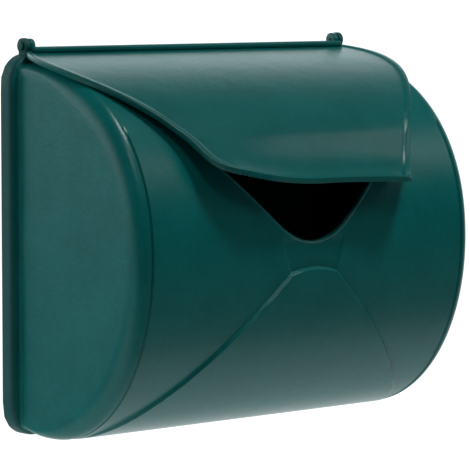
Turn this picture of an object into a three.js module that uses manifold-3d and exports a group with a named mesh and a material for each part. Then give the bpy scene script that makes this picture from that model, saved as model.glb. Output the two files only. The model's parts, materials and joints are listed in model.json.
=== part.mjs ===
// Wall mounted mailbox: a half-round moulded box with an envelope-flap lid.
// Millimetres. X runs along the wall, -Y points away from the wall, +Z is up.
// The origin is the centre of the back panel's rear face, which lies on the wall.

import * as THREE from 'three';
import { mergeVertices } from 'three/addons/utils/BufferGeometryUtils.js';
import Module from 'manifold-3d';

// ---------- driving dimensions ----------

const GAP = 0.3;                  // clearance between pieces that touch
const OVERRUN = 1;                // how far a cutter runs past what it cuts

// skirt: the shallow rectangular surround that meets the wall
const SKIRT_WIDTH = 262;
const SKIRT_HEIGHT = 211;
const SKIRT_DEPTH = 9;
const SKIRT_CORNER = 16;
const SKIRT_EDGE = 3;             // rounding of its front edge
const WALL = 2.4;                 // moulded wall of the box

// box: half-round trough standing on the skirt
const BOX_SIDE_SET_IN = 5.5;      // end caps, inside the skirt's sides
const BOX_DEPTH = 111.5;          // wall face to the foremost line
const BOX_LINE = -3.4;            // height of the foremost line
const CROWN_SET_DOWN = 5;         // crown, under the skirt's top
const CROWN_SET_OFF = 7.5;        // where the crown starts to fall, off the wall
const CROWN_POWER = 2.19;         // slightly squarer than an ellipse
const BELLY_SET_UP = 0.3;         // belly, above the skirt's bottom
const BELLY_SET_OFF = 30;         // lowest line, off the wall
const END_ROUND = 8;              // rounding between the front and the end caps

// scored line round the front beside each end cap
const GROOVE_SET_IN = 8.2;        // from the end cap
const GROOVE_WIDTH = 1.2;
const GROOVE_SINK = 0.8;
const GROOVE_TOP = 64;            // height at which it ends

// letter opening, a rounded V in the front
const MOUTH_BOTTOM = 2.5;
const MOUTH_TOP_SET_DOWN = 21.5;  // its top edge, under the skirt's top
const MOUTH_FLOOR_HALF = 19;      // half width just above its rounded bottom
const MOUTH_SLOPE = 1.02;         // sideways run for each unit of height
const MOUTH_TURN = 8;             // height over which the sides bend into the floor
const MOUTH_ROUND = 14;

// envelope pattern on the front: a raised bottom flap and a sunk window over it
const FLAP_RISE = 1;
const FLAP_CREST_SET_DOWN = 14.3; // top of its arch, under the mouth
const FLAP_ARCH = 2.8;            // height of the arch
const FLAP_ARCH_HALF = 17.5;
const FLAP_FOOT_SET_IN = 25;      // feet of its slanted edges, inside the skirt's sides
const FLAP_FOOT_SET_UP = 10;      // and above its bottom
const WINDOW_SINK = 0.8;
const WINDOW_HALF = 26;           // half width of the window's top
const WINDOW_OVER = 3;            // window's top corners, above the mouth's bottom

// hinge
const LUG_RADIUS = 4.3;
const LUG_WIDTH = 3.3;
const LUG_SET_IN = 11;            // outer face of each lug, inside the skirt's side
const LUG_SET_OFF = 0.2;          // barrel's back, off the wall
const LUG_NECK_SET_IN = 1.2;      // neck's back face, inside the barrel's
const PIN_RADIUS = 1.3;
const PIN_HEAD_RADIUS = 2.4;
const PIN_HEAD_THICK = 0.9;

// lid
const LID_SHEET = 2;
const LID_RIM_DEPTH = 3.4;        // full height of the turned-down rim
const LID_RIM_WIDTH = 2.2;
const LID_BAR_DEPTH = 8.2;        // heel bar, front to back
const LID_BAR_HEIGHT = 3.5;
const LID_BACK_RISE = 1.3;        // upper face at the back edge, above the skirt
const LID_SHOULDER_SET_IN = 3.8;  // widest line, inside the skirt's sides
const LID_SHOULDER_OFF = 33;      // and off the wall
const LID_SWEEP = 36;             // how far the sides run on before they draw in
const LID_TIP_HALF = 60;
const LID_TIP_RUN = 24;           // forward run of the sides into the tip
const LID_TIP_SPREAD = 24;        // and their sideways spread over it
const LID_TIP_ROUND = 5;
// rim's underside over the box: share of the turn from crown to foremost line, and clearance
const LID_CLEARS = [
  [0.106, 0.6], [0.2, 0.35], [0.3, 0.45], [0.4, 1.35], [0.5, 2.95],
  [0.6, 4.44], [0.67, 5.43], [0.7257, 7.62], [0.768, 10.8], [0.8075, 15.1],
];

// back panel: a tray that closes the box from behind
const PANEL_SHEET = 2.4;
const PANEL_RIM = 2.2;
const LEDGE_DEPTH = 6.5;          // how deep the skirt's recess is

// fastening
const SCREW_SET_IN = 3.7;         // screw columns, inside the end walls
const SCREW_ROW_SET_IN = 19.5;    // outer screw rows, inside the skirt's top and bottom
const SCREW_HEAD_RADIUS = 3.7;
const SCREW_HEAD_THICK = 2.2;
const SCREW_HEAD_SUNK = 0.5;
const SCREW_SHANK_RADIUS = 1.7;
const SCREW_LENGTH = 13;          // under the head
const SCREW_CROSS = 1.1;          // width of the cross recess
const SCREW_CROSS_SPAN = 4.2;
const SCREW_CROSS_DEPTH = 1.2;
const BOSS_WALL = 2.2;
const BOSS_PAST_SCREW = 11;       // boss length in front of the screw's tip
const CUP_WALL = 1.6;
const WALL_HOLE_RADIUS = 2.75;
const WALL_HOLE_COLUMN = 84;
const WALL_HOLE_ROWS = [-52, 44];
const WALL_COLLAR = 3;            // collar around a wall-screw hole
const WALL_COLLAR_RISE = 2.2;

const ROUND = 20;                 // facets of a small round
const PROFILE_STEPS = 20;         // facets of each half of the box's side view
const LID_STEPS = 32;             // facets of the lid's side view
const QUARTER_TURN = Math.PI / 2;

// ---------- worked-out places ----------

const SKIRT_HALF = SKIRT_WIDTH / 2;
const SKIRT_TOP = SKIRT_HEIGHT / 2;
const BOX_HALF = SKIRT_HALF - BOX_SIDE_SET_IN;
const BOX_RISE = SKIRT_TOP - CROWN_SET_DOWN - BOX_LINE;
const BOX_DROP = SKIRT_TOP - BELLY_SET_UP + BOX_LINE;
const BEYOND = SKIRT_WIDTH;       // farther out than any piece reaches
const MOUTH_TOP = SKIRT_TOP - MOUTH_TOP_SET_DOWN;
const FLAP_CREST = MOUTH_BOTTOM - FLAP_CREST_SET_DOWN;
const AXIS_Y = -LUG_RADIUS - LUG_SET_OFF;
const AXIS_Z = SKIRT_TOP + LUG_RADIUS;
const LUG_OUTER = SKIRT_HALF - LUG_SET_IN;
const LUG_INNER = LUG_OUTER - LUG_WIDTH;
const LUG_FRONT = -AXIS_Y + LUG_RADIUS;
const KNUCKLE_RADIUS = LUG_RADIUS - GAP;
const KNUCKLE_OUTER = LUG_INNER - GAP;
const KNUCKLE_INNER = KNUCKLE_OUTER - LUG_WIDTH;
const BORE_RADIUS = PIN_RADIUS + GAP;
const LID_BACK = Math.max(SKIRT_DEPTH, LUG_FRONT) + GAP;
const LID_BACK_HALF = LUG_OUTER;
const LID_SHOULDER_HALF = SKIRT_HALF - LID_SHOULDER_SET_IN;
const PANEL_HALF_WIDTH = SKIRT_HALF - WALL - GAP;
const PANEL_HALF_HEIGHT = SKIRT_TOP - WALL - GAP;
const PANEL_CORNER = SKIRT_CORNER - WALL - GAP;
const SCREW_COLUMN = BOX_HALF - WALL - SCREW_SET_IN;
const SCREW_ROW = SKIRT_TOP - SCREW_ROW_SET_IN;
const SCREW_UNDER_HEAD = SCREW_HEAD_SUNK + SCREW_HEAD_THICK;
const SCREW_TIP = SCREW_UNDER_HEAD + SCREW_LENGTH;
const CUP_RADIUS = SCREW_HEAD_RADIUS + CUP_WALL + GAP;
const CUP_FLOOR = SCREW_UNDER_HEAD + GAP;
const CUP_DEPTH = LEDGE_DEPTH - 4 * GAP;
const BOSS_START = CUP_DEPTH + GAP;
const BOSS_END = SCREW_TIP + BOSS_PAST_SCREW;
const BOSS_BORE = SCREW_SHANK_RADIUS + GAP;

// ---------- solids ----------

const wasm = await Module();
wasm.setup();

function solid(geometry) {
  const bare = geometry.clone();
  bare.deleteAttribute('normal');
  bare.deleteAttribute('uv');
  const welded = mergeVertices(bare, 1e-4);
  return new wasm.Manifold(new wasm.Mesh({
    numProp: 3,
    vertProperties: new Float32Array(welded.attributes.position.array),
    triVerts: new Uint32Array(welded.index.array),
  }));
}

function geometryOf(manifold) {
  const mesh = manifold.getMesh();
  const geometry = new THREE.BufferGeometry();
  geometry.setAttribute('position', new THREE.BufferAttribute(mesh.vertProperties, 3));
  geometry.setIndex(new THREE.BufferAttribute(mesh.triVerts, 1));
  geometry.computeVertexNormals();
  return geometry;
}

function extrusion(outline, length, round) {
  return new THREE.ExtrudeGeometry(outline, {
    depth: length,
    bevelEnabled: round > 0,
    bevelThickness: round,
    bevelSize: round,
    bevelOffset: -round,
    bevelSegments: 3,
  });
}

// a prism along X from x0 to x1, both ends rounded; the outline is drawn as (y, z)
function alongX(outline, x0, x1, round = 0) {
  const geometry = extrusion(outline, x1 - x0 - 2 * round, round);
  geometry.translate(0, 0, x0 + round);
  const axes = new THREE.Matrix4().makeBasis(
    new THREE.Vector3(0, 1, 0), new THREE.Vector3(0, 0, 1), new THREE.Vector3(1, 0, 0));
  return solid(geometry.applyMatrix4(axes));
}

// a prism from y = -near to y = -far, its far end rounded; the outline is drawn as (x, z)
function alongY(outline, near, far, round = 0) {
  const geometry = extrusion(outline, far - near - round, round);
  geometry.rotateX(QUARTER_TURN);
  geometry.translate(0, -near, 0);
  return round > 0 ? solid(geometry).trimByPlane([0, -1, 0], near) : solid(geometry);
}

// a prism along Z through the whole object; the outline is drawn as (x, y)
function alongZ(outline) {
  return solid(extrusion(outline, 2 * BEYOND, 0).translate(0, 0, -BEYOND));
}

function box(x0, x1, y0, y1, z0, z1) {
  const geometry = new THREE.BoxGeometry(x1 - x0, y1 - y0, z1 - z0);
  return solid(geometry.translate((x0 + x1) / 2, (y0 + y1) / 2, (z0 + z1) / 2));
}

// a round bar along Y from y = -near to y = -far
function rodY(radius, near, far, x, z) {
  const geometry = new THREE.CylinderGeometry(radius, radius, far - near, ROUND);
  return solid(geometry.translate(x, -(near + far) / 2, z));
}

// a round bar along the hinge axis
function hingeRod(radius, x0, x1) {
  const geometry = new THREE.CylinderGeometry(radius, radius, x1 - x0, ROUND);
  geometry.rotateZ(QUARTER_TURN);
  return solid(geometry.translate((x0 + x1) / 2, AXIS_Y, AXIS_Z));
}

// a span between two distances from the middle, on one side of it
function span(side, inner, outer) {
  return side > 0 ? [inner, outer] : [-outer, -inner];
}

function roundedRectangle(halfWidth, halfHeight, corner) {
  const shape = new THREE.Shape();
  const w = halfWidth - corner;
  const h = halfHeight - corner;
  const centres = [[w, h], [-w, h], [-w, -h], [w, -h]];
  centres.forEach(([x, z], index) => {
    shape.absarc(x, z, corner, QUARTER_TURN * index, QUARTER_TURN * (index + 1));
  });
  return shape;
}

// both halves of an outline whose right half runs from the middle line round to it again
function mirrored(right) {
  const left = right.filter((point) => point.x > 0);
  return new THREE.Shape([
    ...right, ...left.reverse().map((point) => new THREE.Vector2(-point.x, point.y))]);
}

// ---------- box outline ----------

// point of the crown's side view, as (y, z): turn 0 is its top, turn 1 the foremost line
function crownPoint(turn, inset = 0, proud = 0) {
  const angle = QUARTER_TURN * turn;
  const reach = BOX_DEPTH - CROWN_SET_OFF - inset + proud;
  return new THREE.Vector2(
    -CROWN_SET_OFF - reach * Math.sin(angle) ** (2 / CROWN_POWER),
    BOX_LINE + (BOX_RISE - inset) * Math.max(Math.cos(angle), 0) ** (2 / CROWN_POWER));
}

// Side view of the trough, as (y, z), shrunk by the inset and pushed forward by proud.
// Behind the wall plane it simply runs on, to be trimmed.
function troughOutline(inset, proud = 0) {
  const behind = WALL * 8;
  const points = [new THREE.Vector2(behind, BOX_LINE + BOX_RISE - inset)];
  for (let i = 0; i <= PROFILE_STEPS; i += 1) {
    points.push(crownPoint(i / PROFILE_STEPS, inset, proud));
  }
  const reach = BOX_DEPTH - BELLY_SET_OFF - inset + proud;
  const rearSteps = 4;
  for (let i = 1; i <= PROFILE_STEPS + rearSteps; i += 1) {
    const angle = QUARTER_TURN * (i / PROFILE_STEPS);
    points.push(new THREE.Vector2(
      -BELLY_SET_OFF - reach * Math.cos(angle),
      BOX_LINE - (BOX_DROP - inset) * Math.sin(angle)));
  }
  points.push(new THREE.Vector2(behind, points[points.length - 1].y));
  return new THREE.Shape(points.reverse());
}

function trough(inset, proud, x0, x1) {
  return alongX(troughOutline(inset, proud), x0, x1);
}

function mouthOutline() {
  const halfAt = (z) => MOUTH_FLOOR_HALF + (z - MOUTH_BOTTOM) * MOUTH_SLOPE;
  const turn = MOUTH_BOTTOM + MOUTH_TURN;
  const right = new THREE.Path();
  right.moveTo(0, MOUTH_BOTTOM);
  right.quadraticCurveTo(MOUTH_FLOOR_HALF, MOUTH_BOTTOM, halfAt(turn), turn);
  right.lineTo(halfAt(MOUTH_TOP - MOUTH_ROUND), MOUTH_TOP - MOUTH_ROUND);
  right.quadraticCurveTo(
    halfAt(MOUTH_TOP), MOUTH_TOP, halfAt(MOUTH_TOP) - MOUTH_ROUND, MOUTH_TOP);
  return mirrored(right.getPoints());
}

function flapOutline() {
  const right = new THREE.Path();
  const shoulder = FLAP_CREST - FLAP_ARCH;
  right.moveTo(0, FLAP_CREST);
  right.quadraticCurveTo(FLAP_ARCH_HALF / 2, FLAP_CREST, FLAP_ARCH_HALF, shoulder);
  right.lineTo(SKIRT_HALF - FLAP_FOOT_SET_IN, FLAP_FOOT_SET_UP - SKIRT_TOP);
  right.lineTo(SKIRT_HALF - FLAP_FOOT_SET_IN, -BEYOND);
  return mirrored(right.getPoints());
}

function windowOutline() {
  const top = MOUTH_BOTTOM + WINDOW_OVER;
  const bottom = FLAP_CREST - FLAP_ARCH;
  return mirrored([
    new THREE.Vector2(FLAP_ARCH_HALF, bottom), new THREE.Vector2(WINDOW_HALF, top)]);
}

function screwPlaces() {
  return [-SCREW_ROW, 0, SCREW_ROW].flatMap(
    (z) => [-1, 1].map((side) => [side * SCREW_COLUMN, z]));
}

function wallHolePlaces() {
  return WALL_HOLE_ROWS.flatMap(
    (z) => [-1, 1].map((side) => [side * WALL_HOLE_COLUMN, z]));
}

// ---------- pieces ----------

// what turns the plain trough into the envelope front
function envelopeFront(outer) {
  const flap = trough(0, FLAP_RISE, -BOX_HALF + END_ROUND, BOX_HALF - END_ROUND)
    .intersect(alongY(flapOutline(), BELLY_SET_OFF, BEYOND));
  const window = alongY(windowOutline(), BELLY_SET_OFF, BEYOND)
    .subtract(trough(WINDOW_SINK, 0, -BOX_HALF, BOX_HALF));
  let front = outer.subtract(window).add(flap);
  const middle = BOX_HALF - GROOVE_SET_IN;
  for (const side of [-1, 1]) {
    const [x0, x1] = span(side, middle - GROOVE_WIDTH / 2, middle + GROOVE_WIDTH / 2);
    const groove = box(x0, x1, -BEYOND, -BELLY_SET_OFF, -BEYOND, GROOVE_TOP)
      .subtract(trough(GROOVE_SINK, 0, -BOX_HALF, BOX_HALF));
    front = front.subtract(groove);
  }
  return front;
}

function makeBoxShell() {
  const outer = alongX(troughOutline(0), -BOX_HALF, BOX_HALF, END_ROUND)
    .trimByPlane([0, -1, 0], SKIRT_DEPTH / 2);
  const skirt = alongY(
    roundedRectangle(SKIRT_HALF, SKIRT_TOP, SKIRT_CORNER), 0, SKIRT_DEPTH, SKIRT_EDGE);
  let shell = envelopeFront(outer).add(skirt);
  for (const side of [-1, 1]) {
    const [x0, x1] = span(side, LUG_INNER, LUG_OUTER);
    const neck = box(x0, x1, -LUG_FRONT, -LUG_SET_OFF - LUG_NECK_SET_IN,
      SKIRT_TOP - WALL, AXIS_Z);
    shell = shell.add(hingeRod(LUG_RADIUS, x0, x1)).add(neck);
  }
  shell = shell.subtract(alongX(
    troughOutline(WALL), -BOX_HALF + WALL, BOX_HALF - WALL, END_ROUND - WALL));
  shell = shell.subtract(alongY(
    roundedRectangle(PANEL_HALF_WIDTH + GAP, PANEL_HALF_HEIGHT + GAP, PANEL_CORNER + GAP),
    -OVERRUN, LEDGE_DEPTH));
  shell = shell.subtract(alongY(mouthOutline(), BELLY_SET_OFF, BEYOND));
  for (const [x, z] of screwPlaces()) {
    shell = shell.add(rodY(BOSS_BORE + BOSS_WALL, BOSS_START, BOSS_END, x, z));
  }
  for (const [x, z] of screwPlaces()) {
    shell = shell.subtract(rodY(BOSS_BORE, BOSS_START - OVERRUN, BOSS_END - WALL, x, z));
  }
  return shell.subtract(hingeRod(BORE_RADIUS, -LUG_OUTER - OVERRUN, LUG_OUTER + OVERRUN));
}

// side view of the lid's upper face, back to front, as (y, z)
function lidCurve() {
  const points = [new THREE.Vector2(-LID_BACK, SKIRT_TOP + LID_BACK_RISE)];
  for (const [turn, clear] of LID_CLEARS) {
    const point = crownPoint(turn);
    const angle = QUARTER_TURN * turn;
    const bend = 2 - 2 / CROWN_POWER;
    const normal = new THREE.Vector2(
      -(Math.sin(angle) ** bend) / (BOX_DEPTH - CROWN_SET_OFF),
      Math.cos(angle) ** bend / BOX_RISE).normalize();
    points.push(point.addScaledVector(normal, LID_RIM_DEPTH + clear));
  }
  return new THREE.SplineCurve(points);
}

// the lid's side view between two depths below its upper face, cut short at the tip
function lidBand(from, to, short = 0) {
  const curve = lidCurve();
  const end = 1 - short / curve.getLength();
  const upper = [];
  const lower = [];
  for (let i = 0; i <= LID_STEPS; i += 1) {
    const share = (end * i) / LID_STEPS;
    const point = curve.getPointAt(share);
    const tangent = curve.getTangentAt(share);
    const down = new THREE.Vector2(-tangent.y, tangent.x);
    upper.push(point.clone().addScaledVector(down, from));
    lower.push(point.clone().addScaledVector(down, to));
  }
  return new THREE.Shape([...upper, ...lower.reverse()]);
}

// plan view of the lid, as (x, y), shrunk by the inset
function lidPlan(inset) {
  const back = -LID_BACK - inset;
  const tip = lidCurve().getPoint(1).x + inset;
  const shoulder = LID_SHOULDER_HALF - inset;
  const tipHalf = LID_TIP_HALF - inset;
  const right = new THREE.Path();
  right.moveTo(0, back);
  right.lineTo(LID_BACK_HALF - inset, back);
  right.quadraticCurveTo(
    shoulder, (back - LID_SHOULDER_OFF) / 2, shoulder, -LID_SHOULDER_OFF);
  right.bezierCurveTo(shoulder, -LID_SHOULDER_OFF - LID_SWEEP,
    tipHalf + LID_TIP_SPREAD, tip + LID_TIP_RUN, tipHalf, tip + LID_TIP_ROUND);
  right.quadraticCurveTo(
    tipHalf - LID_TIP_ROUND / 2, tip, tipHalf - LID_TIP_ROUND * 2, tip);
  right.lineTo(0, tip);
  return mirrored(right.getPoints());
}

function makeLid() {
  const below = LID_RIM_DEPTH + OVERRUN;
  const pocket = alongX(lidBand(LID_SHEET, below, LID_RIM_WIDTH), -SKIRT_HALF, SKIRT_HALF)
    .intersect(alongZ(lidPlan(LID_RIM_WIDTH)));
  let lid = alongX(lidBand(0, LID_RIM_DEPTH), -SKIRT_HALF, SKIRT_HALF)
    .intersect(alongZ(lidPlan(0)))
    .subtract(pocket);
  const barFront = LID_BACK + LID_RIM_WIDTH;
  lid = lid.add(box(-KNUCKLE_OUTER, KNUCKLE_OUTER, -barFront, LID_BAR_DEPTH - barFront,
    SKIRT_TOP + GAP, SKIRT_TOP + GAP + LID_BAR_HEIGHT));
  for (const side of [-1, 1]) {
    const [x0, x1] = span(side, KNUCKLE_INNER, KNUCKLE_OUTER);
    lid = lid.add(hingeRod(KNUCKLE_RADIUS, x0, x1));
    const [bore0, bore1] = span(side, KNUCKLE_INNER - LUG_WIDTH, KNUCKLE_OUTER + OVERRUN);
    lid = lid.subtract(hingeRod(BORE_RADIUS, bore0, bore1));
  }
  return lid;
}

function makeHingePin(side) {
  const face = LUG_OUTER + GAP;
  const [shank0, shank1] = span(side, KNUCKLE_INNER, face + PIN_HEAD_THICK / 2);
  const [head0, head1] = span(side, face, face + PIN_HEAD_THICK);
  return hingeRod(PIN_RADIUS, shank0, shank1).add(hingeRod(PIN_HEAD_RADIUS, head0, head1));
}

function makeBackPanel() {
  const tray = alongY(roundedRectangle(
    PANEL_HALF_WIDTH - PANEL_RIM, PANEL_HALF_HEIGHT - PANEL_RIM, PANEL_CORNER - PANEL_RIM),
  PANEL_SHEET, LEDGE_DEPTH + OVERRUN);
  let panel = alongY(
    roundedRectangle(PANEL_HALF_WIDTH, PANEL_HALF_HEIGHT, PANEL_CORNER), 0, LEDGE_DEPTH - GAP)
    .subtract(tray);
  for (const [x, z] of screwPlaces()) {
    panel = panel.add(rodY(CUP_RADIUS, PANEL_SHEET / 2, CUP_DEPTH, x, z));
  }
  for (const [x, z] of wallHolePlaces()) {
    panel = panel.add(rodY(WALL_HOLE_RADIUS + WALL_COLLAR, PANEL_SHEET / 2,
      PANEL_SHEET + WALL_COLLAR_RISE, x, z));
    panel = panel.subtract(rodY(WALL_HOLE_RADIUS, -OVERRUN, LEDGE_DEPTH, x, z));
  }
  for (const [x, z] of screwPlaces()) {
    panel = panel.subtract(rodY(SCREW_HEAD_RADIUS + GAP, -OVERRUN, CUP_FLOOR, x, z));
    panel = panel.subtract(rodY(BOSS_BORE, CUP_FLOOR - OVERRUN, LEDGE_DEPTH, x, z));
  }
  return panel;
}

function makeScrew(x, z) {
  const arm = SCREW_CROSS_SPAN / 2;
  const slit = SCREW_CROSS / 2;
  const floor = -SCREW_HEAD_SUNK - SCREW_CROSS_DEPTH;
  return rodY(SCREW_HEAD_RADIUS, SCREW_HEAD_SUNK, SCREW_UNDER_HEAD, x, z)
    .add(rodY(SCREW_SHANK_RADIUS, SCREW_UNDER_HEAD - SCREW_CROSS_DEPTH / 2, SCREW_TIP, x, z))
    .subtract(box(x - arm, x + arm, floor, OVERRUN, z - slit, z + slit))
    .subtract(box(x - slit, x + slit, floor, OVERRUN, z - arm, z + arm));
}

// ---------- assembly ----------

const greenPlastic = { color: 0x0a4a44, roughness: 0.42, metalness: 0 };
const zincSteel = { color: 0x9aa0a2, roughness: 0.35, metalness: 1 };

const group = new THREE.Group();

function place(name, manifold, finish) {
  const mesh = new THREE.Mesh(geometryOf(manifold), new THREE.MeshStandardMaterial(finish));
  mesh.name = name;
  group.add(mesh);
}

place('box_shell', makeBoxShell(), greenPlastic);
place('back_panel', makeBackPanel(), greenPlastic);
place('lid', makeLid(), greenPlastic);
place('hinge_pin_left', makeHingePin(-1), greenPlastic);
place('hinge_pin_right', makeHingePin(1), greenPlastic);
screwPlaces().forEach(([x, z], index) => {
  place(`panel_screw_${index + 1}`, makeScrew(x, z), zincSteel);
});

export default group;
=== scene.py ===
"""Half-round wall mailbox: moulded box, envelope-flap lid, hinge pins, back panel and screws."""

import json
import math

import bmesh
import bpy
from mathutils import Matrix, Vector


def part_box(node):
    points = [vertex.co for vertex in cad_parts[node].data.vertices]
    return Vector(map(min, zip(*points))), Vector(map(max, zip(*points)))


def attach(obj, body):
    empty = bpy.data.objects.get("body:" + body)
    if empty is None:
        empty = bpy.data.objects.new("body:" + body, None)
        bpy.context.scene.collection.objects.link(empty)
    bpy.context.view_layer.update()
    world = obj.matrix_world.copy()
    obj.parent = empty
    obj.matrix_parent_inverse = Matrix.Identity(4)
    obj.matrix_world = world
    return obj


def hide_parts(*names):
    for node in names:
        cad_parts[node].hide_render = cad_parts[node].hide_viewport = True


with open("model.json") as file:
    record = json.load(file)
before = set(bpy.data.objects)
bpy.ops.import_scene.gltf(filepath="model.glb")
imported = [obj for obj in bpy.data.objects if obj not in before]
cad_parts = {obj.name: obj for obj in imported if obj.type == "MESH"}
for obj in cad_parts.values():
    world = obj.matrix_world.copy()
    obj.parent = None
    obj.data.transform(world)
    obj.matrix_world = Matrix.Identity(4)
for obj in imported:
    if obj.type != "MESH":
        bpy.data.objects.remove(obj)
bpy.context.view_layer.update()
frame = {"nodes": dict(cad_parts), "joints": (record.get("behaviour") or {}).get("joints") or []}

MM = 0.001

# ---------- sizes, read from the frame ----------

shell_high = Vector(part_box("box_shell")[1])
panel_high = Vector(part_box("back_panel")[1])
pin_high = Vector(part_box("hinge_pin_right")[1])
hinge = next(joint for joint in frame["joints"] if joint["name"] == "lid_hinge")
AXIS = Vector(hinge["pos_m"])

WALL = 2.4 * MM
GAP = 0.3 * MM

SKIRT_HALF = shell_high.x                    # half width of the surround
SKIRT_TOP = panel_high.z + WALL + GAP        # its half height
SKIRT_DEPTH = 9 * MM
SKIRT_CORNER = 16 * MM
SKIRT_EDGE = 2.8 * MM
SKIRT_COVE = 1.6 * MM                        # hollow where the box stands on the surround

BOX_DEPTH = 111.5 * MM
BOX_HALF = SKIRT_HALF - 5.5 * MM
BOX_LINE = -3.4 * MM                         # height of the foremost line
BOX_RISE = 103.9 * MM
BOX_DROP = 101.8 * MM
CROWN_SET_OFF = 7.5 * MM
CROWN_POWER = 2.19
BELLY_SET_OFF = 30 * MM
END_ROUND = 8.4 * MM                         # edge of the cap, measured across
END_INSET = 11.5 * MM                        # and towards the cap's middle, at the front
END_INSET_WALL = 4 * MM                      # the same close to the wall

GROOVE_AT = BOX_HALF - 9.2 * MM              # scored line beside each end
GROOVE_HALF = 1.05 * MM
GROOVE_SINK = 1.1 * MM
GROOVE_TOP = 70 * MM
GROOVE_FADE = 9 * MM

ARCH_TOP = -11.8 * MM                        # envelope seams, seen from the front
ARCH_HALF = 17.5 * MM
ARCH_HEIGHT = 2.8 * MM
FLAP_FOOT = Vector((106 * MM, -95.5 * MM))
FLAP_RISE = 1.7 * MM
WINDOW_TOP = Vector((23.5 * MM, 3 * MM))
WINDOW_SINK = 0.8 * MM
SEAM = 1.4 * MM                              # width of a seam's slope

MOUTH_BOTTOM = 2.5 * MM
MOUTH_TOP = 84 * MM
MOUTH_FLOOR_HALF = 14 * MM
MOUTH_SLOPE = 1.09
MOUTH_TURN = 13 * MM
MOUTH_ROUND = 14 * MM
MOUTH_LIP = 1.6 * MM                         # raised lip around the opening
MOUTH_LIP_RISE = 0.55 * MM

PIN_RADIUS = 1.3 * MM
PIN_EDGE = 0.2 * MM
PIN_HEAD_RADIUS = 2.4 * MM
PIN_HEAD_THICK = 1.2 * MM
PIN_HEAD_EDGE = 0.6 * MM

LUG_RADIUS = 4.3 * MM
LUG_EDGE = 0.5 * MM
LUG_OUTER = pin_high.x - PIN_HEAD_THICK
LUG_WIDTH = 3.3 * MM
LUG_NECK_FRONT = 3.6 * MM                    # neck under the lug, in front of the axis
LUG_NECK_BACK = 2.8 * MM                     # and behind it
LUG_NECK_SUNK = 1.6 * MM
LUG_NECK_EDGE = 0.4 * MM
KNUCKLE_OUTER = LUG_OUTER - LUG_WIDTH - GAP

BOSS_ROWS = (-86 * MM, 0, 86 * MM)           # screw bosses inside the ends
BOSS_SET_IN = 3.7 * MM
BOSS_RADIUS = 4.2 * MM
BOSS_BACK = -6.9 * MM
BOSS_FRONT = -26.5 * MM
BOSS_EDGE = 0.6 * MM

HEEL_FRONT = -11.5 * MM                      # bar along the lid's back edge
HEEL_BACK = -3.3 * MM
HEEL_HEIGHT = 3.8 * MM
HEEL_EDGE = 1.4 * MM

LID_RIM = 3 * MM
LID_BACK = 9.3 * MM
LID_BACK_RISE = 1.3 * MM
LID_BEND = Vector((-102 * MM, SKIRT_TOP - 43.5 * MM))
LID_TIP = Vector((-124.6 * MM, SKIRT_TOP - 67.4 * MM))
LID_SHOULDER_HALF = 127.2 * MM
LID_SHOULDER_OFF = 33 * MM
LID_TIP_HALF = 60 * MM
LID_TWIST_FROM = 0.68                        # share of the way down where the tip's twist starts
LID_LIFT = (6.5 * MM, 1.5 * MM)              # twist at the tip: left corner up, right corner down
LID_SLIDE = (2 * MM, -3 * MM)                # and both further down the lid
LID_LEFT_CORNER = (0.15, 16 * MM)            # share of the length, and width, of the swept corner
LID_RIGHT_CORNER = (0.02, 2.5 * MM)
LID_EDGE = 0.25 * MM
LID_ROWS = 110
LID_COLUMNS = 130
LID_CROWDING = 0.2                           # how much the columns gather at the sides
LID_CORNER_REACH = 34 * MM
LID_BEAD = 3.2 * MM                          # raised edge all round
LID_BEAD_RISE = 0.8 * MM
LID_BEAD_SLOPE = 1.6 * MM

STEP = 1.7 * MM                              # mesh spacing over the front


# ---------- small helpers ----------

def smooth(value):
    value = min(max(value, 0.0), 1.0)
    return value * value * (3 - 2 * value)


def bezier(a, b, c, d, steps):
    """Points after a along a cubic curve, ending on d."""
    points = []
    for i in range(1, steps + 1):
        t = i / steps
        s = 1 - t
        points.append(a * s ** 3 + b * 3 * s * s * t + c * 3 * s * t * t + d * t ** 3)
    return points


def gap_to(point, a, b):
    """Distance from a point to a straight stretch."""
    along = b - a
    t = max(0.0, min(1.0, (point - a).dot(along) / along.length_squared))
    return (point - a - along * t).length


def gap_to_path(point, path):
    return min(gap_to(point, a, b) for a, b in zip(path, path[1:]))


def inside(point, outline):
    within = False
    for a, b in zip(outline, outline[1:] + outline[:1]):
        if (a.y > point.y) != (b.y > point.y):
            if point.x < a.x + (point.y - a.y) / (b.y - a.y) * (b.x - a.x):
                within = not within
    return within


def evenly(points, count):
    """The same path with its points evenly spaced, and the direction at each."""
    lengths = [0.0]
    for a, b in zip(points, points[1:]):
        lengths.append(lengths[-1] + (b - a).length)
    spaced = []
    k = 0
    for i in range(count + 1):
        wanted = lengths[-1] * i / count
        while k < len(points) - 2 and lengths[k + 1] < wanted:
            k += 1
        share = (wanted - lengths[k]) / (lengths[k + 1] - lengths[k])
        spaced.append((points[k].lerp(points[k + 1], share),
                       (points[k + 1] - points[k]).normalized()))
    return spaced


def take_in(target, addition):
    """Adds a bmesh to another as a separate shell."""
    data = bpy.data.meshes.new("work")
    addition.to_mesh(data)
    addition.free()
    target.from_mesh(data)
    bpy.data.meshes.remove(data)


def bevelled(mesh, edges, offset, segments=3):
    bmesh.ops.bevel(mesh, geom=edges, offset=offset, segments=segments, profile=0.5,
                    affect="EDGES", material=-1, clamp_overlap=True)


def bar(x0, x1, y0, y1, z0, z1, round_by, segments=3):
    """A block with every edge rounded."""
    mesh = bmesh.new()
    bmesh.ops.create_cube(mesh, size=1)
    middle = Vector(((x0 + x1) / 2, (y0 + y1) / 2, (z0 + z1) / 2))
    bmesh.ops.scale(mesh, verts=mesh.verts[:], vec=(x1 - x0, y1 - y0, z1 - z0))
    bmesh.ops.translate(mesh, verts=mesh.verts[:], vec=middle)
    bevelled(mesh, mesh.edges[:], round_by, segments)
    return mesh


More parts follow.
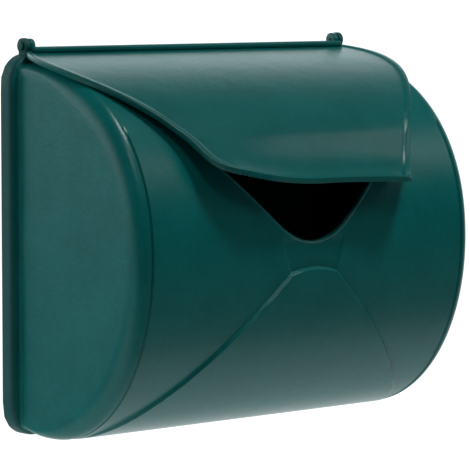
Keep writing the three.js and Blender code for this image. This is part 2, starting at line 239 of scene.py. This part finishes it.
def barrel(radius, start, end, edge, facets=40):
    """A round bar between two points, its end edges rounded."""
    mesh = bmesh.new()
    axis = end - start
    bmesh.ops.create_cone(mesh, cap_ends=True, segments=facets, radius1=radius, radius2=radius,
                          depth=axis.length)
    rims = [item for item in mesh.edges if abs(item.verts[0].co.z - item.verts[1].co.z) < 1e-9]
    bevelled(mesh, rims, edge, 3)
    turn = Vector((0, 0, 1)).rotation_difference(axis).to_matrix()
    bmesh.ops.rotate(mesh, verts=mesh.verts[:], cent=(0, 0, 0), matrix=turn)
    bmesh.ops.translate(mesh, verts=mesh.verts[:], vec=(start + end) / 2)
    return mesh


def piece(name, mesh, body, material, nodes=(), crease=35):
    """Finishes a bmesh as a named piece that rides on a body."""
    data = bpy.data.meshes.new(name)
    mesh.to_mesh(data)
    mesh.free()
    data.shade_smooth()
    data.set_sharp_from_angle(angle=math.radians(crease))
    obj = bpy.data.objects.new(name, data)
    bpy.context.scene.collection.objects.link(obj)
    data.materials.append(material)
    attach(obj, body)
    if nodes:
        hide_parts(*nodes)
    return obj


# ---------- shader maths ----------

class Socket:
    """A shader value that adds its own Math nodes."""

    def __init__(self, nodes, link):
        self.nodes = nodes
        self.link = link

    def math(self, operation, other):
        made = self.nodes.node("Math", {"operation": operation}, {0: self, 1: other})
        return Socket(self.nodes, made.outputs[0])

    def __add__(self, other):
        return self.math("ADD", other)

    def __mul__(self, other):
        return self.math("MULTIPLY", other)

    def __sub__(self, other):
        return self.math("SUBTRACT", other)

    def __rsub__(self, other):
        return self * -1 + other

    __radd__ = __add__
    __rmul__ = __mul__


class Nodes:
    """A node tree whose nodes are made one at a time."""

    def __init__(self, tree):
        self.tree = tree

    def node(self, kind, settings, inputs):
        """One node: its settings first, then the values or links of its sockets."""
        made = self.tree.nodes.new("ShaderNode" + kind)
        for key, value in settings.items():
            if key == "stops":
                ramp = made.color_ramp
                while len(ramp.elements) < len(value):
                    ramp.elements.new(0.5)
                for element, (position, colour) in zip(ramp.elements, value):
                    element.position = position
                    element.color = colour
            else:
                setattr(made, key, value)
        for key, value in inputs.items():
            self.feed(made.inputs[key], value)
        return made

    def feed(self, slot, value):
        if isinstance(value, Socket):
            self.tree.links.new(value.link, slot)
        elif isinstance(value, bpy.types.NodeSocket):
            self.tree.links.new(value, slot)
        else:
            slot.default_value = value

    def fade(self, value, start, end):
        """0 before start, 1 past end, smooth between."""
        made = self.node("MapRange", {"interpolation_type": "SMOOTHSTEP"}, {
            "Value": value, "From Min": start, "From Max": end})
        return Socket(self, made.outputs[0])


class Finish(Nodes):
    """A material, with its shader and the object's own coordinates."""

    def __init__(self, name):
        self.material = bpy.data.materials.new(name)
        self.material.use_nodes = True
        super().__init__(self.material.node_tree)
        self.shader = self.tree.nodes["Principled BSDF"]
        self.place = self.node("TexCoord", {}, {}).outputs["Object"]

    def noise(self, scale, detail=3.0, roughness=0.55, stretch=(1, 1, 1)):
        """Cloudy noise from 0 to 1, with about this many clouds to the metre."""
        spread = self.node("Mapping", {}, {"Vector": self.place, "Scale": stretch})
        cloud = self.node("TexNoise", {}, {
            "Vector": spread.outputs[0], "Scale": scale, "Detail": detail, "Roughness": roughness})
        return Socket(self, cloud.outputs[0])

    def grains(self, scale):
        """Distance from the nearest grain, with about this many grains to the metre."""
        cell = self.node("TexVoronoi", {}, {"Vector": self.place, "Scale": scale})
        return Socket(self, cell.outputs["Distance"])

    def ramp(self, value, stops):
        return self.node("ValToRGB", {"stops": stops}, {"Fac": value})

    def set(self, **values):
        for key, value in values.items():
            self.feed(self.shader.inputs[key.replace("_", " ")], value)

    def bump(self, height, distance, strength=1.0):
        node = self.node("Bump", {}, {"Height": height, "Distance": distance, "Strength": strength})
        self.feed(self.shader.inputs["Normal"], node.outputs[0])


SPECULAR = 0.35


def green_plastic(name, dark, light, roughness, grain=1.0, surround=0.0):
    """Semi-gloss moulded plastic: cloudy colour, fine leather grain, slightly uneven gloss.

    The surround against the wall gets painted shade (its colour mixed towards a near-black green)
    and is made duller, by the share given.
    """
    finish = Finish(name)
    clouds = finish.noise(38, 4) * 0.6 + finish.noise(260, 3) * 0.4
    tint = finish.ramp(clouds, [(0.36, (*dark, 1)), (0.64, (*light, 1))])
    spot = finish.node("SeparateXYZ", {}, {"Vector": finish.place})
    behind_skin = finish.fade(spot.outputs["Y"], -SKIRT_DEPTH - 0.4 * MM, -SKIRT_DEPTH + 0.8 * MM)
    wall_shade_and_dullness = behind_skin * surround
    # painted shade on the surround next to the wall: the colour is mixed towards a near-black
    # green; the same share also raises the roughness
    painted_wall_shade = finish.node("Mix", {"data_type": "RGBA", "blend_type": "MIX"}, {
        "Factor": wall_shade_and_dullness, "A": tint.outputs["Color"], "B": (0.0, 0.02, 0.017, 1)})
    finish.set(Base_Color=painted_wall_shade.outputs["Result"],
               Roughness=clouds * 0.12 + (roughness - 0.06) + wall_shade_and_dullness * 0.5,
               IOR=1.49)
    finish.shader.inputs["Specular IOR Level"].default_value = SPECULAR
    fine = finish.noise(1500, 2) + finish.grains(750) * 0.5 + finish.noise(90, 2) * 1.5
    finish.bump(fine, 0.00006 * grain, 1.0)
    return finish.material


def zinc_steel(name):
    """Zinc-plated steel: brushed in the direction of the shank, faintly stained."""
    finish = Finish(name)
    stain = finish.noise(420, 4)
    tint = finish.ramp(stain, [(0.3, (0.42, 0.43, 0.44, 1)), (0.7, (0.66, 0.67, 0.68, 1))])
    finish.set(Base_Color=tint.outputs["Color"], Metallic=1.0, Roughness=stain * 0.25 + 0.2)
    finish.bump(finish.noise(900, 2, stretch=(6, 1, 6)), 0.00002)
    return finish.material


# painted light: the box's green (also used for the pins) is a lighter copy of the lid's, about a
# fifth brighter, standing in for front light the lamps don't give
skin_green = green_plastic("green_skin", (0.0005, 0.162, 0.155), (0.0015, 0.198, 0.188), 0.3,
                           # the surround gets painted shade and extra dullness at a share of one
                           # half
                           surround=0.5)
lid_green = green_plastic("green_lid", (0.0005, 0.138, 0.132), (0.0015, 0.168, 0.160), 0.3, 1.2)
matt_green = green_plastic("green_matt", (0.001, 0.11, 0.104), (0.0025, 0.14, 0.132), 0.5)
zinc = zinc_steel("zinc_steel")


# ---------- box ----------

def trough_rows():
    """Side view of the trough as (y, z) with outward normals, crown to belly."""
    start = -(SKIRT_DEPTH + SKIRT_COVE)
    fine = 900
    path = []
    for i in range(fine + 1):
        angle = math.pi / 2 * i / fine
        path.append(Vector((
            -CROWN_SET_OFF - (BOX_DEPTH - CROWN_SET_OFF) * math.sin(angle) ** (2 / CROWN_POWER),
            BOX_LINE + BOX_RISE * max(math.cos(angle), 0) ** (2 / CROWN_POWER))))
    for i in range(1, int(fine * 1.3)):
        angle = math.pi / 2 * i / fine
        path.append(Vector((
            -BELLY_SET_OFF - (BOX_DEPTH - BELLY_SET_OFF) * math.cos(angle),
            BOX_LINE - BOX_DROP * math.sin(angle))))
    path = [point for point in path if point.x <= start]
    path[0].x = path[-1].x = start
    length = sum((b - a).length for a, b in zip(path, path[1:]))
    return [(point, Vector((along.y, -along.x)))
            for point, along in evenly(path, round(length / STEP))]


def trough_columns():
    """Across the trough: x, share of the inset, share of the way to the cap's middle."""
    half = [(BOX_HALF, 1, share) for share in (1, 0.8, 0.6, 0.4, 0.25, 0.12, 0.05)]
    turns = 10
    for i in range(turns, 0, -1):
        angle = math.pi / 2 * i / turns
        across = BOX_HALF - END_ROUND * (1 - math.sin(angle))
        if across > GROOVE_AT + GROOVE_HALF * 1.6:
            half.append((across, 1 - math.cos(angle), 0))
    for offset in (1.4, 1, 0.75, 0.4, 0, -0.4, -0.75, -1, -1.4):
        across = GROOVE_AT + GROOVE_HALF * offset
        sine = max(0.0, 1 - (BOX_HALF - across) / END_ROUND)
        half.append((across, 1 - math.sqrt(1 - sine * sine), 0))
    inner = half[-1][0]
    count = round(inner / STEP)
    half += [(inner * (1 - i / count), 0, 0) for i in range(1, count)]
    return [(-x, *rest) for x, *rest in half] + [(0, 0, 0)] + half[::-1]


def mouth_outline(spread=0.0):
    """The letter opening seen from the front, as (x, z), spread outwards."""
    def half_at(z):
        return MOUTH_FLOOR_HALF + (z - MOUTH_BOTTOM) * MOUTH_SLOPE + spread * 1.42

    bottom = MOUTH_BOTTOM - spread
    turn = MOUTH_BOTTOM + MOUTH_TURN - spread * 0.4
    low = Vector((0, bottom))
    side = Vector((half_at(turn), turn))
    control = Vector((MOUTH_FLOOR_HALF + spread, bottom))
    right = [low] + bezier(low, low.lerp(control, 2 / 3), side.lerp(control, 2 / 3), side, 10)
    top = MOUTH_TOP + spread
    before = Vector((half_at(top - MOUTH_ROUND), top - MOUTH_ROUND))
    corner = Vector((half_at(top), top))
    after = Vector((half_at(top) - MOUTH_ROUND, top))
    right.append(before)
    right += bezier(before, before.lerp(corner, 2 / 3), after.lerp(corner, 2 / 3), after, 4)
    return right + [Vector((-point.x, point.y)) for point in right[:0:-1]]


def arch_seam(spread=0.0):
    """Top edge of the bottom flap, left foot to right foot, as (x, z)."""
    run = (FLAP_FOOT - Vector((ARCH_HALF, ARCH_TOP - ARCH_HEIGHT))).normalized()
    down = Vector((run.y, -run.x)) * spread
    shoulder = Vector((ARCH_HALF, ARCH_TOP - ARCH_HEIGHT)) + down
    right = []
    for i in range(1, 8):
        share = i / 7
        right.append(Vector((shoulder.x * share, ARCH_TOP - spread
                             - (ARCH_TOP - spread - shoulder.y) * share * share)))
    right.append(FLAP_FOOT + run * 6 * MM + down)
    return [Vector((-p.x, p.y)) for p in right[::-1]] + [Vector((0, ARCH_TOP - spread))] + right


def window_seam(side, spread=0.0):
    low = Vector((ARCH_HALF, ARCH_TOP - ARCH_HEIGHT))
    run = (WINDOW_TOP - low).normalized()
    shift = Vector((-run.y, run.x)) * spread
    return [Vector((side * (low + shift).x, (low + shift).y)),
            Vector((side * (WINDOW_TOP + shift).x, (WINDOW_TOP + shift).y))]


def score(mesh, path, reach=2.6 * MM):
    """Cuts edges into the front along a path seen from the front."""
    for a, b in zip(path, path[1:]):
        low = Vector((min(a.x, b.x) - reach, min(a.y, b.y) - reach))
        high = Vector((max(a.x, b.x) + reach, max(a.y, b.y) + reach))
        near = []
        for face in mesh.faces:
            x, y, z = face.verts[0].co
            if low.x < x < high.x and low.y < z < high.y and y < -BELLY_SET_OFF * 0.8:
                if gap_to(Vector((x, z)), a, b) < reach:
                    near.append(face)
        edges = {edge for face in near for edge in face.edges}
        verts = {vert for face in near for vert in face.verts}
        along = (b - a).normalized()
        bmesh.ops.bisect_plane(mesh, geom=[*near, *edges, *verts], dist=3e-6,
                               plane_co=(a.x, 0, a.y), plane_no=(-along.y, 0, along.x))


def make_skin():
    """The trough's outer skin, as one open sheet."""
    rows = trough_rows()
    columns = trough_columns()
    mesh = bmesh.new()
    bmesh.ops.create_grid(mesh, x_segments=len(columns) - 1, y_segments=len(rows) - 1, size=0.5)
    back = -(SKIRT_DEPTH + SKIRT_COVE)
    hub = Vector((back, 0))
    for vert in mesh.verts:
        x, inset, share = columns[round((vert.co.x + 0.5) * (len(columns) - 1))]
        row = round((vert.co.y + 0.5) * (len(rows) - 1))
        point, normal = rows[row]
        growth = smooth((-point.x - 15 * MM) / (50 * MM))
        reach = END_INSET_WALL + (END_INSET - END_INSET_WALL) * growth
        point = (point - normal * inset * reach).lerp(hub, share)
        vert.co = (x, back if row in (0, len(rows) - 1) else point.x, point.y)
    bmesh.ops.remove_doubles(mesh, verts=mesh.verts[:], dist=1e-6)
    bmesh.ops.recalc_face_normals(mesh, faces=mesh.faces[:])
    mesh.faces.ensure_lookup_table()
    front = min(mesh.faces, key=lambda face: face.calc_center_median().y)
    if front.normal.y > 0:
        bmesh.ops.reverse_faces(mesh, faces=mesh.faces[:])
    return mesh


def add_skirt(mesh):
    """Draws the skin's back edge out into the surround."""
    home = mesh.verts.layers.float_vector.new("home")
    loop = [edge for edge in mesh.edges if edge.is_boundary]
    for vert in {vert for edge in loop for vert in edge.verts}:
        vert[home] = vert.co
    rings = []
    turns = 5
    for i in range(1, turns + 1):
        angle = math.pi / 2 * i / turns
        rings.append((0, SKIRT_COVE * (1 - math.cos(angle)),
                      -SKIRT_DEPTH - SKIRT_COVE * (1 - math.sin(angle))))
    turns = 6
    for i in range(turns + 1):
        angle = math.pi / 2 * i / turns
        rings.append((1, SKIRT_EDGE * (1 - math.sin(angle)),
                      -SKIRT_DEPTH + SKIRT_EDGE * (1 - math.cos(angle))))
    rings += [(1, 0, -SKIRT_DEPTH * 0.35), (1, 0, 0)]
    core = Vector((SKIRT_HALF - SKIRT_CORNER, SKIRT_TOP - SKIRT_CORNER))
    for outer, offset, y in rings:
        made = bmesh.ops.extrude_edge_only(mesh, edges=loop)["geom"]
        loop = [item for item in made if isinstance(item, bmesh.types.BMEdge) and item.is_boundary]
        for vert in {vert for edge in loop for vert in edge.verts}:
            start = Vector((vert[home].x, vert[home].z))
            centre = Vector((max(-core.x, min(core.x, start.x)),
                             max(-core.y, min(core.y, start.y))))
            rim = centre + (start - centre).normalized() * SKIRT_CORNER
            span = (rim - start).length
            offset_here = offset * min(1.0, span / (SKIRT_EDGE + SKIRT_COVE))
            place = (rim.lerp(start, offset_here / span) if outer
                     else start.lerp(rim, offset_here / span))
            vert.co = (place.x, y, place.y)


def relief(point, mouth):
    """How far the front stands out, from the envelope's flaps, the mouth's edge and the grooves."""
    side = abs(point.x)
    flat = Vector((side, point.z))
    shoulder = Vector((ARCH_HALF, ARCH_TOP - ARCH_HEIGHT))
    run = (FLAP_FOOT - shoulder).normalized()
    if side > ARCH_HALF:
        below = (flat - shoulder).x * run.y - (flat - shoulder).y * run.x
    else:
        below = ARCH_TOP - ARCH_HEIGHT * (side / ARCH_HALF) ** 2 - point.z
    ends = smooth((GROOVE_AT - 1.5 * MM - side) / (4 * MM))
    under = smooth((-point.y - 30 * MM) / (45 * MM))
    height = FLAP_RISE * smooth(below / SEAM) * ends * under
    run = (WINDOW_TOP - shoulder).normalized()
    within = (flat - shoulder).y * run.x - (flat - shoulder).x * run.y
    if point.z < WINDOW_TOP.y + 3 * MM and side < WINDOW_TOP.x + 1 * MM:
        fade = smooth((WINDOW_TOP.y + 3 * MM - point.z) / (4 * MM))
        height -= WINDOW_SINK * smooth(within / SEAM) * (1 - smooth(below / SEAM)) * fade
    if side < MOUTH_TOP * 1.4 and point.z > MOUTH_BOTTOM - 2 * MM:
        edge = gap_to_path(Vector((point.x, point.z)), mouth)
        height += MOUTH_LIP_RISE * (1 - smooth(abs(edge - MOUTH_LIP * 0.45) / (MOUTH_LIP * 0.55)))
    groove = 1 - abs(side - GROOVE_AT) / GROOVE_HALF
    if groove > 0:
        fade = smooth((GROOVE_TOP - point.z) / GROOVE_FADE)
        fade *= smooth((-point.y - 26 * MM) / (15 * MM))
        height -= GROOVE_SINK * groove ** 0.8 * fade
    return height


def make_box():
    mesh = make_skin()
    add_skirt(mesh)
    mouth = mouth_outline()
    closed = mouth + mouth[:1]
    score(mesh, closed)
    for width in (0.2, 0.45, 0.7, 1):
        spread = mouth_outline(MOUTH_LIP * width)
        score(mesh, spread + spread[:1])
    for width in (0, SEAM / 2, SEAM):
        score(mesh, arch_seam(width))
        for side in (-1, 1):
            score(mesh, window_seam(side, width))
    hole = []
    for face in mesh.faces:
        middle = face.calc_center_median()
        if middle.y < -BELLY_SET_OFF and inside(Vector((middle.x, middle.z)), mouth):
            hole.append(face)
    bmesh.ops.delete(mesh, geom=hole, context="FACES")
    mesh.normal_update()
    moves = [(vert, vert.normal * relief(vert.co, closed)) for vert in mesh.verts
             if vert.co.y < -20 * MM and abs(vert.co.x) < GROOVE_AT + GROOVE_HALF * 1.1]
    for vert, move in moves:
        vert.co += move
    mesh.normal_update()
    bmesh.ops.solidify(mesh, geom=mesh.faces[:], thickness=WALL)
    for side in (-1, 1):
        outer = Vector((side * LUG_OUTER, AXIS.y, AXIS.z))
        inner = Vector((side * (LUG_OUTER - LUG_WIDTH), AXIS.y, AXIS.z))
        take_in(mesh, barrel(LUG_RADIUS, outer, inner, LUG_EDGE))
        x0, x1 = sorted((outer.x, inner.x))
        take_in(mesh, bar(x0, x1, AXIS.y - LUG_NECK_FRONT, AXIS.y + LUG_NECK_BACK,
                          SKIRT_TOP - LUG_NECK_SUNK, AXIS.z, LUG_NECK_EDGE))
        column = side * (BOX_HALF - WALL - BOSS_SET_IN)
        for z in BOSS_ROWS:
            take_in(mesh, barrel(BOSS_RADIUS, Vector((column, BOSS_BACK, z)),
                                 Vector((column, BOSS_FRONT, z)), BOSS_EDGE, 24))
    return mesh


# ---------- lid ----------

def lid_rows(count):
    """Side view of the lid's upper face, as (y, z), back edge to tip."""
    back = Vector((-LID_BACK, SKIRT_TOP + LID_BACK_RISE))
    path = [back]
    path += bezier(back, Vector((-53 * MM, back.y - 7 * MM)),
                   Vector((-84.7 * MM, LID_BEND.y + 23.5 * MM)), LID_BEND, 60)
    path += bezier(LID_BEND, LID_BEND + Vector((-5.5 * MM, -8.5 * MM)),
                   LID_TIP + Vector((13 * MM, 1.8 * MM)), LID_TIP, 24)
    fine = evenly(path, 1200)
    rows = []
    for i in range(count + 1):
        left = 1 - i / count
        rows.append(fine[round(1200 * (1 - left * (0.45 + 0.55 * left)))])
    return rows


def lid_half_widths():
    """Plan of the lid's side as (distance off the wall, half width)."""
    back = Vector((LID_BACK, LUG_OUTER))
    shoulder = Vector((LID_SHOULDER_OFF, LID_SHOULDER_HALF))
    tip = Vector((-LID_TIP.x, LID_TIP_HALF))
    control = Vector(((LID_BACK + LID_SHOULDER_OFF) / 2, LID_SHOULDER_HALF))
    plan = [back] + bezier(back, back.lerp(control, 2 / 3),
                           shoulder.lerp(control, 2 / 3), shoulder, 12)
    plan += bezier(shoulder, Vector((69 * MM, LID_SHOULDER_HALF)),
                   Vector((101 * MM, 84 * MM)), tip, 30)
    return plan


def half_width_at(plan, off):
    for a, b in zip(plan, plan[1:]):
        if off <= b.x:
            return a.y + (b.y - a.y) * (off - a.x) / (b.x - a.x)
    return plan[-1].y


def corner_draw(left, share_left):
    """How far the lid's edge draws in towards the tip's rounded corner."""
    reach, width = LID_LEFT_CORNER if left else LID_RIGHT_CORNER
    return width * max(0.0, 1 - share_left / reach) ** 2


def make_lid():
    rows = lid_rows(LID_ROWS)
    plan = lid_half_widths()
    run = [0.0]
    for (a, _), (b, _) in zip(rows, rows[1:]):
        run.append(run[-1] + (b - a).length)
    ends = []
    for (point, _), reach in zip(rows, run):
        half = half_width_at(plan, -point.x)
        share = 1 - reach / run[-1]
        ends.append((half - corner_draw(True, share), half - corner_draw(False, share)))
    late_rows = [i for i, reach in enumerate(run) if run[-1] - reach < LID_CORNER_REACH]
    rim_path = [Vector((-ends[i][0], run[i])) for i in late_rows]
    rim_path += [Vector((ends[i][1], run[i])) for i in reversed(late_rows)]
    mesh = bmesh.new()
    bmesh.ops.create_grid(mesh, x_segments=LID_COLUMNS, y_segments=len(rows) - 1, size=0.5)
    margin = mesh.verts.layers.float.new("margin")
    for vert in mesh.verts:
        row = round((vert.co.y + 0.5) * (len(rows) - 1))
        even = vert.co.x + 0.5
        eased = (1 - math.cos(math.pi * even)) / 2
        share = even * (1 - LID_CROWDING) + eased * LID_CROWDING
        along = run[row] / run[-1]
        point, direction = rows[row]
        left, right = ends[row]
        x = -left + (left + right) * share
        lean = -x / LID_TIP_HALF
        out = Vector((-direction.y, direction.x))
        if out.y < 0:
            out = -out
        late = smooth((along - LID_TWIST_FROM) / (1 - LID_TWIST_FROM))
        corner = 0 if lean > 0 else 1
        lift = LID_LIFT[corner] * lean * late * min(1.0, abs(lean))
        slide = LID_SLIDE[corner] * lean * late
        vert[margin] = min(share * (left + right), (1 - share) * (left + right))
        if row in late_rows:
            vert[margin] = gap_to_path(Vector((x, run[row])), rim_path)
        place = point + out * lift + direction * slide
        vert.co = (x, place.x, place.y)
    mesh.normal_update()
    if sum(face.normal.z for face in mesh.faces) < 0:
        bmesh.ops.reverse_faces(mesh, faces=mesh.faces[:])
        mesh.normal_update()
    upper = mesh.faces[:]
    ways = {tuple(vert.co): vert.normal.copy() for vert in mesh.verts}
    made = bmesh.ops.extrude_face_region(mesh, geom=upper, use_keep_orig=True)["geom"]
    lower = {item for item in made if isinstance(item, bmesh.types.BMVert)}
    for vert in mesh.verts:
        way = ways[tuple(vert.co)]
        hollow = smooth((vert[margin] - LID_BEAD) / LID_BEAD_SLOPE)
        sink = LID_BEAD_RISE * hollow
        vert.co -= way * (LID_RIM - sink if vert in lower else sink)
    bmesh.ops.recalc_face_normals(mesh, faces=mesh.faces[:])
    top = set(upper)
    sides = {face for face in mesh.faces if face not in top
             and not all(vert in lower for vert in face.verts)}
    rim = [edge for edge in mesh.edges if len(edge.link_faces) == 2
           and sum(face in sides for face in edge.link_faces) == 1]
    bevelled(mesh, rim, LID_EDGE, 2)
    heel = bar(-KNUCKLE_OUTER, KNUCKLE_OUTER, HEEL_FRONT, HEEL_BACK,
               SKIRT_TOP + GAP, SKIRT_TOP + HEEL_HEIGHT, HEEL_EDGE, 4)
    take_in(mesh, heel)
    for side in (-1, 1):
        outer = Vector((side * KNUCKLE_OUTER, AXIS.y, AXIS.z))
        inner = Vector((side * (KNUCKLE_OUTER - LUG_WIDTH), AXIS.y, AXIS.z))
        take_in(mesh, barrel(LUG_RADIUS - GAP, outer, inner, LUG_EDGE))
    return mesh


def make_pin(side):
    face = side * LUG_OUTER
    mesh = barrel(PIN_RADIUS, Vector((side * (KNUCKLE_OUTER - LUG_WIDTH), AXIS.y, AXIS.z)),
                  Vector((face, AXIS.y, AXIS.z)), PIN_EDGE)
    take_in(mesh, barrel(PIN_HEAD_RADIUS, Vector((face + side * GAP, AXIS.y, AXIS.z)),
                         Vector((face + side * PIN_HEAD_THICK, AXIS.y, AXIS.z)), PIN_HEAD_EDGE))
    return mesh


piece("moulded_box", make_box(), "box", skin_green, ["box_shell"])
piece("envelope_lid", make_lid(), "flap", lid_green, ["lid"])
piece("left_pin", make_pin(-1), "box", skin_green, ["hinge_pin_left"])
piece("right_pin", make_pin(1), "box", skin_green, ["hinge_pin_right"])

for name, obj in frame["nodes"].items():
    obj.data.materials.clear()
    obj.data.materials.append(zinc if "screw" in name else matt_green)

# ---------- camera ----------

CAMERA_AIM = Vector((-0.0070, -0.0537, 0.0024))
CAMERA_AZIMUTH = math.radians(41.69)
CAMERA_ELEVATION = math.radians(4.91)
CAMERA_DISTANCE = 1.7378
CAMERA_LENS = 236.1

away = Vector((-math.sin(CAMERA_AZIMUTH) * math.cos(CAMERA_ELEVATION),
               -math.cos(CAMERA_AZIMUTH) * math.cos(CAMERA_ELEVATION),
               math.sin(CAMERA_ELEVATION)))
camera_data = bpy.data.cameras.new("camera")
camera_data.lens = CAMERA_LENS
camera_data.sensor_width = 36
camera_data.clip_end = 200
camera = bpy.data.objects.new("camera", camera_data)
camera.location = CAMERA_AIM + away * CAMERA_DISTANCE
camera.rotation_euler = (-away).to_track_quat("-Z", "Y").to_euler()
bpy.context.scene.collection.objects.link(camera)
bpy.context.scene.camera = camera

# ---------- studio ----------

KEY_POWER = 6.8                              # small, high, a little to the right
FRONT_POWER = 1.4                            # small, in front and to the left
RIGHT_POWER = 1.7                            # wide, in front and to the right
LAMP_AIM = Vector((0, -0.05, 0))
FLOOR_NEAR = 0.62                            # glow of the floor under the box
FLOOR_SIDE = 0.06                            # behind it to the left
FLOOR_FAR = 1.0                              # and behind it to the right
FLOOR_DROP = 0.32                            # floor, under the middle of the box
FLOOR_SIZE = 40
PAPER = (0.25, 0.25, 0.25, 1)
SIDE_TINT = (0.75, 1.0, 1.12, 1)
SKY_BACK = 1.85
SKY_TOP = 0.06
SKY_FRONT = 0.04
SKY_COLOUR = (0.88, 0.98, 1, 1)


def softbox(name, place, width, height, power):
    data = bpy.data.lights.new(name, "AREA")
    data.shape = "RECTANGLE"
    data.size = width
    data.size_y = height
    data.energy = power
    lamp = bpy.data.objects.new(name, data)
    lamp.location = place
    lamp.rotation_euler = (LAMP_AIM - Vector(place)).to_track_quat("-Z", "Y").to_euler()
    bpy.context.scene.collection.objects.link(lamp)


softbox("key_softbox", (0.28, -0.55, 1.3), 0.22, 0.22, KEY_POWER)
softbox("front_softbox", (-0.3, -1.0, 1.05), 0.25, 0.3, FRONT_POWER)
softbox("right_softbox", (1.3, -0.95, 0.98), 0.6, 0.5, RIGHT_POWER)

floor_mesh = bmesh.new()
bmesh.ops.create_grid(floor_mesh, x_segments=1, y_segments=1, size=FLOOR_SIZE)
bmesh.ops.translate(floor_mesh, verts=floor_mesh.verts[:], vec=(0, 0, -FLOOR_DROP))
floor_data = bpy.data.meshes.new("floor")
floor_mesh.to_mesh(floor_data)
floor_mesh.free()
floor = bpy.data.objects.new("floor", floor_data)
bpy.context.scene.collection.objects.link(floor)
paper = Finish("pale_floor")
spot = paper.node("SeparateXYZ", {}, {"Vector": paper.place})
far = paper.fade(spot.outputs["Y"], 0.0, 0.4)
right = paper.fade(spot.outputs["X"], -0.7, 0.3)
front = paper.fade(spot.outputs["Y"], -0.14, -0.42)
near = (1 - far) * (1 - front)
shade = paper.node("Mix", {"data_type": "RGBA", "blend_type": "MIX"}, {
    "Factor": far * (1 - right), "A": (1, 1, 1, 1), "B": SIDE_TINT})
level = FLOOR_FAR * far * right + FLOOR_SIDE * far * (1 - right) + FLOOR_NEAR * near
glow = paper.node("VectorMath", {"operation": "SCALE"}, {
    0: shade.outputs["Result"], "Scale": level})
paper.set(Base_Color=PAPER, Roughness=0.9, Emission_Color=glow.outputs[0], Emission_Strength=1.0)
floor_data.materials.append(paper.material)

world = bpy.data.worlds.new("studio")
world.use_nodes = True
sky = Nodes(world.node_tree)
background = sky.tree.nodes["Background"]
sky.feed(background.inputs["Color"], SKY_COLOUR)
split = sky.node("SeparateXYZ", {}, {
    "Vector": sky.node("TexCoord", {}, {}).outputs["Generated"]})
behind = sky.fade(split.outputs["Y"], -0.1, 0.5)
above = sky.fade(split.outputs["Z"], 0.3, 0.65)
strength = (SKY_BACK * behind + SKY_FRONT * (1 - behind)) * (1 - above) + SKY_TOP * above
sky.feed(background.inputs["Strength"], strength)
bpy.context.scene.world = world
bpy.context.scene.view_settings.view_transform = "Standard"
